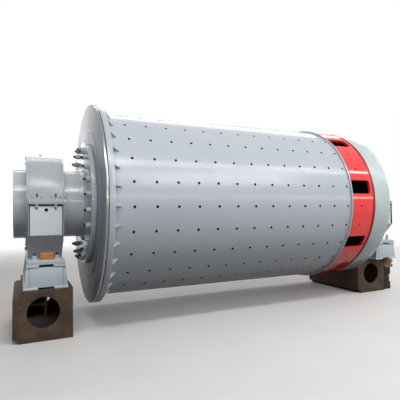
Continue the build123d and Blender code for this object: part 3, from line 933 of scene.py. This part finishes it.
def threaded_end(name, radius, length, foot):
    """End of a stud: rings that are drawn up by turns narrow and wide, as thread grooves."""
    turns = max(2, round(length / (radius * THREAD_PITCH)))
    step = (length + SUNK) / (2 * turns)
    bpy.ops.object.select_all(action="DESELECT")
    bpy.ops.mesh.primitive_circle_add(
        vertices=THREAD_CORNERS, radius=radius, location=(0, 0, foot - SUNK)
    )
    bpy.ops.object.transform_apply(location=True)
    rod = begin(name + "_end")
    bpy.ops.mesh.select_all(action="SELECT")
    for number in range(2 * turns):
        size = THREAD_WAIST if number % 2 == 0 else 1 / THREAD_WAIST
        bpy.ops.mesh.extrude_edges_move(TRANSFORM_OT_translate={"value": (0, 0, step)})
        bpy.ops.transform.resize(value=(size, size, 1))
    bpy.ops.mesh.extrude_edges_move(
        TRANSFORM_OT_translate={"value": (0, 0, radius * TIP_LENGTH)}
    )
    bpy.ops.transform.resize(value=(TIP_WIDTH, TIP_WIDTH, 1))
    bpy.ops.mesh.edge_face_add()
    pick(rod, "edges", lambda e: all(v.co.z < foot - SUNK / 2 for v in e.verts))
    bpy.ops.mesh.edge_face_add()
    bpy.ops.mesh.select_all(action="SELECT")
    bpy.ops.mesh.normals_make_consistent(inside=False)
    bpy.ops.object.mode_set(mode="OBJECT")
    rod.data.materials.append(stud_steel)
    return rod


# %% Helpers: join them into one bolt, and copy a bolt to its places
WASHER_RADIUS = 0.65
# Nut across its flats, nut height, stud radius, stud end above the nut, washer thickness.
STUDS = {
    "flange_stud": (0.066, 0.055, 0.019, 0.028, 0.006),
    "cap_stud": (0.036, 0.024, 0.011, 0.048, 0.004),
    "cap_nut": (0.027, 0.018, 0.008, 0.009, 0.003),
    "hanging_nut": (0.030, 0.034, 0.011, 0.014, 0.003),
    "sole_stud": (0.055, 0.042, 0.018, 0.034, 0.010),
    "filler_plug": (0.034, 0.016, 0.009, 0.010, 0.004),
}


def stud_with_nut(name):
    """Washer, nut and stud end, standing on z = 0 and pointing up."""
    across_flats, nut_height, stud_radius, stud_end, washer = STUDS[name]
    parts = [
        washer_ring(name, across_flats * WASHER_RADIUS, washer),
        threaded_end(name, stud_radius, stud_end, washer + nut_height),
        hexagon(name, across_flats, nut_height, washer),
    ]
    bpy.ops.object.select_all(action="DESELECT")
    for part in parts:
        part.select_set(True)
    bpy.context.view_layer.objects.active = parts[-1]
    bpy.ops.object.join()
    return parts[-1]


def fasten(bolt, places, name, body):
    """Copy a bolt to its places as one piece, and let it ride on a body."""
    piece = copy_to(bolt, places, name)
    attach(piece, body)
    print(name, "bolts:", len(places), "triangles:", triangles(piece))


# %% Studs of the two trunnion flanges
HEAD_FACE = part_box("discharge_head")[1].x
FLANGE_PLATE = 0.060
FLANGE_FACE = HEAD_FACE + FLANGE_PLATE
FLANGE_BOLTS = 24
FLANGE_BOLT_CIRCLE = 0.812


def round_places(seat, count):
    """Places round the drum's axis, none of them straight in front, above, behind or below."""
    step = 360 / count
    return [turned(math.radians(step / 2 + step * n)) @ seat for n in range(count)]


for end_name, side in (("feed", -1), ("discharge", 1)):
    outwards = Matrix.Rotation(side * math.pi / 2, 4, "Y")
    seat = Matrix.Translation((side * FLANGE_FACE, -FLANGE_BOLT_CIRCLE, AXIS_HEIGHT)) @ outwards
    fasten(
        stud_with_nut("flange_stud"),
        round_places(seat, FLANGE_BOLTS),
        f"{end_name}_flange_studs", "drum",
    )

# %% [markdown]
# ## Bolts of the bearings
# Four studs clamp each cap to its housing, with four small nuts beside them on each side, and
# a long nut hangs under the flange below each stud. The holding-down studs are much larger. The
# seal rings are held by circles of small screws, which are plain hexagon heads of few faces.

# %% Studs and small nuts of the bearing caps
BEARING_X = (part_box("feed_bearing_cap")[0].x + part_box("feed_bearing_cap")[1].x) / 2
SIDES = (("feed", BEARING_X), ("discharge", -BEARING_X))
CAP_FLANGE = 0.030
CAP_FLANGE_TOP = AXIS_HEIGHT + CAP_FLANGE
CAP_STUD_Y = 0.760
CAP_STUD_OFFSET = 0.113
CAP_NUT_Y = 0.742
CAP_NUT_OFFSETS = (-0.169, -0.054, 0.054, 0.169)
HANGING_NUT_Y = 0.7685
UPSIDE_DOWN = Matrix.Rotation(math.pi, 4, "X")


def front_and_back(middle_x, offsets, from_middle, height):
    """Places at some offsets along the drum, on the front and on the back."""
    return [
        Matrix.Translation((middle_x + offset, front * from_middle, height))
        for offset in offsets
        for front in (-1, 1)
    ]


for end_name, bearing_x in SIDES:
    studs = (-CAP_STUD_OFFSET, CAP_STUD_OFFSET)
    fasten(
        stud_with_nut("cap_stud"),
        front_and_back(bearing_x, studs, CAP_STUD_Y, CAP_FLANGE_TOP),
        f"{end_name}_cap_studs", "supports",
    )
    fasten(
        stud_with_nut("cap_nut"),
        front_and_back(bearing_x, CAP_NUT_OFFSETS, CAP_NUT_Y, CAP_FLANGE_TOP),
        f"{end_name}_cap_nuts", "supports",
    )
    hanging = front_and_back(bearing_x, studs, HANGING_NUT_Y, AXIS_HEIGHT - CAP_FLANGE)
    fasten(
        stud_with_nut("hanging_nut"),
        [place @ UPSIDE_DOWN for place in hanging],
        f"{end_name}_hanging_nuts", "supports",
    )

# %% Holding-down studs of the bearings
SOLE_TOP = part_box("feed_sole_plate")[1].z
SOLE_STUD_OFFSET = 0.136
SOLE_STUD_Y = 0.700

for end_name, bearing_x in SIDES:
    fasten(
        stud_with_nut("sole_stud"),
        front_and_back(bearing_x, (-SOLE_STUD_OFFSET, SOLE_STUD_OFFSET), SOLE_STUD_Y, SOLE_TOP),
        f"{end_name}_sole_studs", "supports",
    )

# %% Screws round the seal rings
SEAL_SCREWS = 24
SEAL_SCREW_CIRCLE = 0.658
SEAL_SCREW_FLATS = 0.019
SEAL_SCREW_HEIGHT = 0.012

for end_name in ("feed", "discharge"):
    seal_low, seal_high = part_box(f"{end_name}_seal_rings")
    places = []
    for side, seal_face in ((-1, seal_low.x), (1, seal_high.x)):
        outwards = Matrix.Rotation(side * math.pi / 2, 4, "Y")
        seat = Matrix.Translation((seal_face, -SEAL_SCREW_CIRCLE, AXIS_HEIGHT)) @ outwards
        places += round_places(seat, SEAL_SCREWS)
    fasten(
        hexagon("seal_screw", SEAL_SCREW_FLATS, SEAL_SCREW_HEIGHT, 0.0),
        places, f"{end_name}_seal_screws", "supports",
    )

# %% [markdown]
# ## Plate edges
# Cut plates and castings never have razor edges: the burr is ground off, and a painted edge is
# rounded by a few millimetres, which draws a thin line of light. The CAD nodes are loose
# triangles with sharp edges, so a copy of each is merged into clean flat faces first. Then only
# the edges at which it turns by more than 30 degrees are bevelled, so curved faces stay as they
# are. Seams that no spray gun reaches get near-black bare steel, which is painted shade in them.

# %% Helper: a copy of a CAD node with its edges rounded over
CORNER_ANGLE = math.radians(30)
FLAT_ANGLE = math.radians(0.3)
SAME_PLACE = 0.00005
body_of_node = {
    node_name: body
    for body, members in frame["record"]["behaviour"]["bodies"].items()
    for node_name in members
}


def eased_copy(node_name, width, chosen=lambda edge: True):
    """Merged copy of a CAD node with its chosen corners rounded, in the node's body and paint."""
    node = cad_nodes[node_name]
    piece = bpy.data.objects.new(node_name + "_eased", node.data.copy())
    piece.data.name = piece.name
    bpy.context.scene.collection.objects.link(piece)
    only(piece)
    bpy.ops.object.mode_set(mode="EDIT")
    bpy.ops.mesh.select_all(action="SELECT")
    bpy.ops.mesh.customdata_custom_splitnormals_clear()
    bpy.ops.mesh.remove_doubles(threshold=SAME_PLACE)
    bpy.ops.mesh.dissolve_limited(angle_limit=FLAT_ANGLE)
    pick(piece, "edges", lambda e: e.calc_face_angle(0) > CORNER_ANGLE and chosen(e))
    bpy.ops.mesh.bevel(offset=width, segments=2, clamp_overlap=True)
    # Large flat faces with holes in them shade cleanly only as triangles.
    bpy.ops.mesh.select_all(action="SELECT")
    bpy.ops.mesh.quads_convert_to_tris()
    bpy.ops.object.mode_set(mode="OBJECT")
    smooth(piece)
    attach(piece, body_of_node[node_name])
    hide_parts(node_name)
    return piece


print("corners are eased from", round(math.degrees(CORNER_ANGLE)), "degrees")

# %% Ease the edges of the bearings, the pedestals, the stands and the timber
EASED_SUPPORTS = {
    "bearing_cap": 0.005,
    "seal_rings": 0.003,
    "sole_plate": 0.005,
    "pedestal_top": 0.003,
    "pocket_plate": 0.003,
    "pedestal_box": 0.003,
    "pedestal_foot": 0.004,
    "stand": 0.006,
    "stand_web": 0.004,
}
EASED_TIMBER = {"timber_block": 0.004}
EASED_TIMBER |= {f"packing_sleeper_{number}": 0.008 for number in (1, 2, 3)}
EASED_TIMBER |= {f"packing_plank_{number}": 0.004 for number in (1, 2, 3, 4)}
HOUSING_EDGE = 0.003
SEAM_START = 0.003
SEAM_FLOOR = 0.105
SEAM_WIDTH = 0.0125


def in_an_end_face(edge):
    """Whether an edge lies across the drum's axis, as those round an end face do."""
    return abs(edge.verts[0].co.x - edge.verts[1].co.x) < MILLIMETRE


for end_name in ("feed", "discharge"):
    # The cover's recess leaves thin lips on the housing, so only its end faces are eased.
    low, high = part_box(f"{end_name}_bearing_body")
    housing = eased_copy(
        f"{end_name}_bearing_body",
        HOUSING_EDGE,
        lambda e: in_an_end_face(e)
        and not low.x + MILLIMETRE <= middle(e).x <= high.x - MILLIMETRE,
    )
    # The seam round each cover was never painted, and its near-black steel is also painted shade
    # in the recess.
    cover_low, cover_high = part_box(f"{end_name}_bearing_covers")
    give_bare_or_shade(
        housing,
        lambda face: SEAM_START < high.y - abs(face.center.y) < SEAM_FLOOR
        and cover_low.x - SEAM_WIDTH < face.center.x < cover_high.x + SEAM_WIDTH
        and cover_low.z - SEAM_WIDTH < face.center.z < AXIS_HEIGHT,
    )
    for part_name, width in EASED_SUPPORTS.items():
        eased_copy(f"{end_name}_{part_name}", width)
for node_name, width in EASED_TIMBER.items():
    eased_copy(node_name, width)

# %% Ease the edges of the drum's rings, gussets and flanges
BORE_RADIUS = SHELL_RADIUS - SHELL_WALL
RIM_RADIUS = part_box("shell_flange")[1].z - AXIS_HEIGHT
RIM_JOINT_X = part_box("shell_flange")[0].x
SEAM_REACH = 0.0145
SEAM_TOP = 0.0035
SEAM_BOTTOM = 0.016


def in_the_rim_seam(face):
    """Whether a face lies in the open seam between the feed head's rim and the shell's flange."""
    depth = RIM_RADIUS - from_axis(face)
    return abs(face.center.x - RIM_JOINT_X) < SEAM_REACH and SEAM_TOP < depth < SEAM_BOTTOM


EASED_DRUM = {
    "shell_flange": 0.003,
    "flange_gussets": 0.002,
    "feed_head": 0.004,
    "feed_trunnion_flange": 0.004,
    "joint_ring": 0.003,
    "end_ring": 0.004,
    "discharge_head": 0.004,
    "discharge_trunnion_flange": 0.004,
}
for node_name, width in EASED_DRUM.items():
    piece = eased_copy(node_name, width)
    # The open seam at the rim gets the near-black steel as a dark joint. The heads' inner faces
    # get it as painted shade inside the drum.
    if node_name in ("shell_flange", "feed_head"):
        give_bare_or_shade(piece, in_the_rim_seam)
    if node_name in ("feed_head", "discharge_head"):
        inwards = 1 if node_name == "feed_head" else -1
        give_bare_or_shade(
            piece,
            lambda face: face.normal.x * inwards > FACES_INWARDS
            and from_axis(face) < BORE_RADIUS,
        )
print("drum pieces with eased edges:", len(EASED_DRUM))

# %% [markdown]
# ## Welds
# The drum and the pedestals are welded from plate. A fillet weld is a bead of metal laid in a
# corner, with a ripple for each drop that froze. Straight beads start as a six-sided rod that is
# drawn out ripple by ripple, and round ones start as a torus with some of its rings shrunk. A
# bump alone would leave the outline of a bead smooth, so the ripples are real shape. They are 2 mm
# apart on a real bead, too fine to show, so they are drawn wider here.

# %% Helper: straight weld bead
RIPPLE = 0.012
RIPPLE_SWELL = 1.18


def straight_bead(name, length, radius):
    """Rippled bead along X, centred on the origin."""
    ripples = round(length / RIPPLE)
    step = length / (2 * ripples)
    bpy.ops.object.select_all(action="DESELECT")
    bpy.ops.mesh.primitive_circle_add(
        vertices=6, radius=radius, location=(-length / 2, 0, 0), rotation=(0, math.pi / 2, 0)
    )
    bpy.ops.object.transform_apply(location=True, rotation=True)
    bead = begin(name)
    bpy.ops.mesh.select_all(action="SELECT")
    for number in range(2 * ripples):
        size = RIPPLE_SWELL if number % 2 == 0 else 1 / RIPPLE_SWELL
        bpy.ops.mesh.extrude_edges_move(TRANSFORM_OT_translate={"value": (step, 0, 0)})
        bpy.ops.transform.resize(value=(1, size, size))
    for end_x in (-length / 2, length / 2):
        pick(bead, "verts", lambda v: abs(v.co.x - end_x) < step / 2)
        bpy.ops.mesh.edge_face_add()
    bpy.ops.mesh.select_all(action="SELECT")
    bpy.ops.mesh.normals_make_consistent(inside=False)
    bpy.ops.object.mode_set(mode="OBJECT")
    return bead


# %% Helpers: round weld bead, and the finish of a bead
# A torus has 256 rings at most. The ones that lie nearest to an even number of half degrees are
# shrunk: about every second one, at uneven steps, as in a bead that was laid by hand.
BEAD_RINGS = 256
HALF_DEGREE = math.pi / 360
RING_RIPPLE_DEPTH = 0.16
BEAD_ANGLE = math.radians(40)


def round_bead(name, x, ring_radius, radius):
    """Rippled bead round the drum's axis."""
    bpy.ops.object.select_all(action="DESELECT")
    bpy.ops.mesh.primitive_torus_add(
        major_segments=BEAD_RINGS,
        minor_segments=6,
        major_radius=ring_radius,
        minor_radius=radius,
        location=(x, 0, AXIS_HEIGHT),
        rotation=(0, math.pi / 2, 0),
    )
    bpy.ops.object.transform_apply(location=True, rotation=True)
    bead = begin(name)
    pick(
        bead, "verts",
        lambda v: round(math.atan2(v.co.z - AXIS_HEIGHT, v.co.y) / HALF_DEGREE) % 2 == 0,
    )
    bpy.ops.transform.shrink_fatten(value=-RING_RIPPLE_DEPTH * radius)
    bpy.ops.object.mode_set(mode="OBJECT")
    return bead


def dress_bead(bead, paint, body):
    """Paint a bead like the plates that it joins, and let it ride with them."""
    bead.data.materials.clear()
    bead.data.materials.append(paint)
    smooth(bead, BEAD_ANGLE)
    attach(bead, body)
    print(bead.name, "triangles:", triangles(bead))


# %% Round beads where the rings sit on the shell
flange_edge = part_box("shell_flange")[1].x
joint_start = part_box("joint_ring")[0].x
discharge_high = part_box("discharge_head")[1]
# Name, place along the drum, radius of the corner, radius of the bead, paint and its slot.
ROUND_BEADS = (
    (
        "shell_flange_weld", flange_edge, SHELL_RADIUS + 2 * MILLIMETRE, 0.008,
        shell_paint, "shell_paint",
    ),
    (
        "joint_ring_weld", joint_start, SHELL_RADIUS + MILLIMETRE, 0.006,
        shell_paint, "shell_paint",
    ),
    (
        "discharge_head_weld", discharge_high.x, discharge_high.y, 0.005,
        end_ring_paint, "end_ring_paint",
    ),
)
for name, place_x, ring_radius, bead_radius, paint, slot_name in ROUND_BEADS:
    bead = round_bead(name, place_x, ring_radius, bead_radius)
    dress_bead(bead, paint, "drum")

# %% Beads on both sides of every gusset
GUSSET_COUNT = 36
GUSSET_PLATE = 0.014
GUSSET_FIRST_TURN = math.radians(-2.6)
GUSSET_BEAD_SHARE = 0.9
GUSSET_BEAD_RADIUS = 0.005
gusset_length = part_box("flange_gussets")[1].x - flange_edge
side_turn = (GUSSET_PLATE / 2 + 2 * MILLIMETRE) / SHELL_RADIUS
gusset_seat = Matrix.Translation(
    (flange_edge + gusset_length / 2, -SHELL_RADIUS - MILLIMETRE, AXIS_HEIGHT)
)
dress_bead(
    copy_to(
        straight_bead("gusset_bead", gusset_length * GUSSET_BEAD_SHARE, GUSSET_BEAD_RADIUS),
        [
            turned(GUSSET_FIRST_TURN + n * 2 * math.pi / GUSSET_COUNT + side) @ gusset_seat
            for n in range(GUSSET_COUNT)
            for side in (-side_turn, side_turn)
        ],
        "gusset_welds",
    ),
    shell_paint, "drum",
)

# %% Beads at the foot of the pedestal boxes, front and back
FOOT_BEAD_LENGTH = 0.144
FOOT_BEAD_OFFSET = 0.174
FOOT_BEAD_RADIUS = 0.006
FOOT_BEAD_LIFT = 0.002

for end_name, bearing_x in SIDES:
    box_low, box_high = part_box(f"{end_name}_pedestal_box")
    # The foot plate is notched in its middle, so there is a bead on either side of the notch.
    dress_bead(
        copy_to(
            straight_bead("foot_bead", FOOT_BEAD_LENGTH, FOOT_BEAD_RADIUS),
            front_and_back(
                bearing_x,
                (-FOOT_BEAD_OFFSET, FOOT_BEAD_OFFSET),
                box_high.y,
                box_low.z + FOOT_BEAD_LIFT,
            ),
            f"{end_name}_pedestal_welds",
        ),
        pedestal_paint, "supports",
    )

# %% [markdown]
# ## Filler plugs
# Oil goes into each bearing through a hole in the top of its cap, which a hexagon plug closes.
# The plug has the shape of a nut on a short stud, so the same function makes it, and it is put
# on the side of the cap that faces away from the drum.

# %% Filler plug on top of each bearing cap
FILLER_OFFSET = 0.042
FILLER_SUNK = 0.001

for end_name, bearing_x in SIDES:
    plug_x = bearing_x + math.copysign(FILLER_OFFSET, bearing_x)
    cap_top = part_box(f"{end_name}_bearing_cap")[1].z
    fasten(
        stud_with_nut("filler_plug"),
        [Matrix.Translation((plug_x, 0, cap_top - FILLER_SUNK))],
        f"{end_name}_filler_plug", "supports",
    )

# %% [markdown]
# ## Studio
# A pale floor takes the shadow. The workshop floor under the real mill is dark, so its belly and
# its pedestals stay in shade. Here the floor looks pale to the camera and in mirror-like
# reflections, and dark to all other light, so that it doesn't light the belly from below. The
# world works the same way: white to look at, and a weak sky as a light.

# %% Helper: what the camera and mirror-like rays see
def seen_directly(tree):
    """Value that is 1 for rays from the camera, glossy rays and transmission rays."""
    path = add_node(tree, "ShaderNodeLightPath")
    either = add_node(
        tree, "ShaderNodeMath",
        {0: path.outputs["Is Camera Ray"], 1: path.outputs["Is Glossy Ray"]},
        operation="MAXIMUM",
    )
    seen = add_node(
        tree, "ShaderNodeMath",
        {0: either.outputs["Value"], 1: path.outputs["Is Transmission Ray"]},
        operation="MAXIMUM",
    )
    return seen.outputs["Value"]


# %% Floor plane and its colour
FLOOR_SIZE = 60

bpy.context.scene.view_settings.view_transform = "Standard"
bpy.ops.object.select_all(action="DESELECT")
bpy.ops.mesh.primitive_plane_add(size=FLOOR_SIZE, location=(0, 0, 0))
floor = bpy.context.active_object
floor.name = "floor"
floor_paint, tree, shader, place = new_material("pale_painted_concrete")
mottle = add_node(
    tree, "ShaderNodeTexNoise", {"Vector": place, "Scale": pattern_scale(900), "Detail": 4.0}
)
pale_tone = add_node(
    tree, "ShaderNodeMix",
    {"Factor": mottle.outputs["Fac"], 6: linear("#E4E3E1"), 7: linear("#DAD9D7")},
    data_type="RGBA",
)
floor_tone = add_node(
    tree, "ShaderNodeMix",
    {"Factor": seen_directly(tree), 6: linear("#4A4A4A"), 7: pale_tone.outputs[2]},
    data_type="RGBA",
)
tree.links.new(floor_tone.outputs[2], shader.inputs["Base Color"])
shader.inputs["Roughness"].default_value = 0.8
print("floor:", FLOOR_SIZE, "metres wide")

# %% Fade the floor into the white of the world, so that no horizon shows
far_away = add_node(tree, "ShaderNodeVectorMath", {0: place}, operation="LENGTH")
far_share = add_node(
    tree, "ShaderNodeMapRange",
    {"Value": far_away.outputs["Value"], "From Min": 6.0, "From Max": 15.0},
    interpolation_type="SMOOTHSTEP",
)
haze_share = add_node(
    tree, "ShaderNodeMath",
    {0: far_share.outputs["Result"], 1: seen_directly(tree)},
    operation="MULTIPLY",
)
haze = add_node(tree, "ShaderNodeEmission", {"Color": linear("#FFFFFF"), "Strength": 1.0})
seen_floor = add_node(
    tree, "ShaderNodeMixShader",
    {0: haze_share.outputs["Value"], 1: shader.outputs["BSDF"], 2: haze.outputs["Emission"]},
)
tree.links.new(
    seen_floor.outputs["Shader"], tree.nodes["Material Output"].inputs["Surface"]
)
floor.data.materials.append(floor_paint)
print("floor finish:", floor_paint.name)

# %% World
world = bpy.data.worlds.new("studio")
bpy.context.scene.world = world
world.use_nodes = True
tree = world.node_tree
tree.nodes.clear()
sky = add_node(tree, "ShaderNodeBackground", {"Color": linear("#F2F5FA"), "Strength": 0.05})
white = add_node(tree, "ShaderNodeBackground", {"Color": linear("#FFFFFF"), "Strength": 1.0})
mixed = add_node(
    tree, "ShaderNodeMixShader",
    {0: seen_directly(tree), 1: sky.outputs["Background"], 2: white.outputs["Background"]},
)
add_node(tree, "ShaderNodeOutputWorld", {"Surface": mixed.outputs["Shader"]})
print("world:", world.name)

# %% [markdown]
# ## Lamps
# The hall is lit by long rows of windows and skylights, which draw bright straight streaks along
# the drum. Two wide soft lamps give the even light from the front. A narrow lamp as long as the
# mill stands for each row of windows: its height sets how high up the drum its streak lies, and
# its width sets how sharp the streak is. Weaker lamps light the back and both ends.

# %% Lamps
def softbox(name, place, aim, width, height, power):
    """Area lamp at a place, aimed at a point."""
    bpy.ops.object.select_all(action="DESELECT")
    bpy.ops.object.light_add(type="AREA", location=place)
    lamp = bpy.context.active_object
    lamp.name = name
    lamp.data.shape = "RECTANGLE"
    lamp.data.size = width
    lamp.data.size_y = height
    lamp.data.energy = power
    direction = Vector(aim) - Vector(place)
    lamp.rotation_euler = direction.to_track_quat("-Z", "Y").to_euler()


softbox("high_left", (-3.2, -6.5, 9.0), (-0.4, 0, 1.7), 7, 3, 300)
softbox("front_right", (3.5, -9.0, 6.8), (0.5, 0, 1.7), 7, 3, 400)
softbox("back", (0.0, 9.0, 5.5), (0.0, 0, 1.6), 8, 4, 220)
softbox("feed_end", (-11.0, 1.5, 4.5), (-3.3, 0, 1.8), 4, 3, 70)
softbox("discharge_end", (11.0, 1.5, 4.5), (3.3, 0, 1.8), 4, 3, 260)
softbox("front_skylights", (2.0, -3.9, 5.3), (2.0, -1.2, 2.2), 16, 0.20, 190)
softbox("back_skylights", (2.0, 3.4, 6.75), (2.0, -0.2, 2.2), 16, 0.30, 180)
softbox("low_windows", (2.0, -7.2, 2.55), (2.0, 0, 1.9), 16, 0.15, 115)
